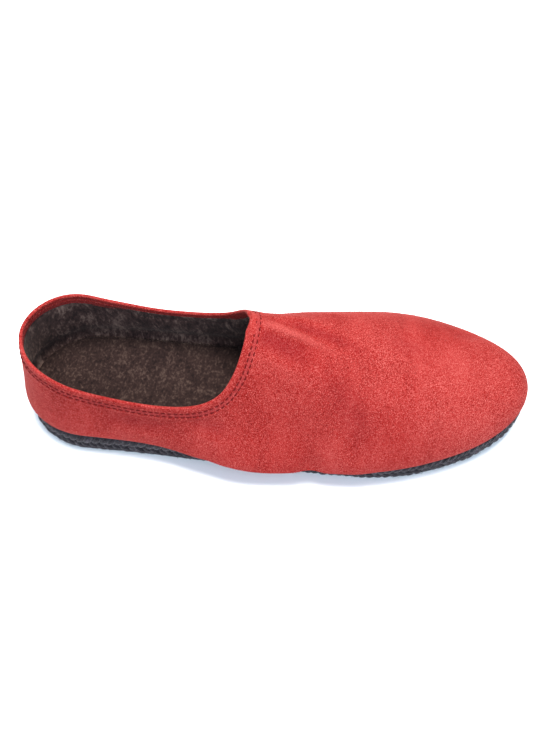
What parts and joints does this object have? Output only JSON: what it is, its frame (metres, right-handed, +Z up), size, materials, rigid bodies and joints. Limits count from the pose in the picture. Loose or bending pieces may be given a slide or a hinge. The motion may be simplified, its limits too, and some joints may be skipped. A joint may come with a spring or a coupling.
{
  "type": "espadrille loafer",
  "caption": "Slip-on espadrille loafer for the right foot: a soft suede upper with an open collar and a pointed throat, sewn on a plaited rope sole.",
  "frame": {"origin": "on the floor, under the middle of the shoe's box", "axes": "+X along the foot to the toe, +Y to the inner side of the foot, +Z up"},
  "size_m": [0.2556, 0.0956, 0.072],
  "materials": {
    "suede": "matte napped suede",
    "rope": "matte plaited rope",
    "lining": "matte brushed pile",
    "thread": "waxed sewing thread"
  },
  "bodies": {
    "root": {"upper": "suede", "rope_sole": "rope", "insole": "lining"}
  },
  "joints": []
}
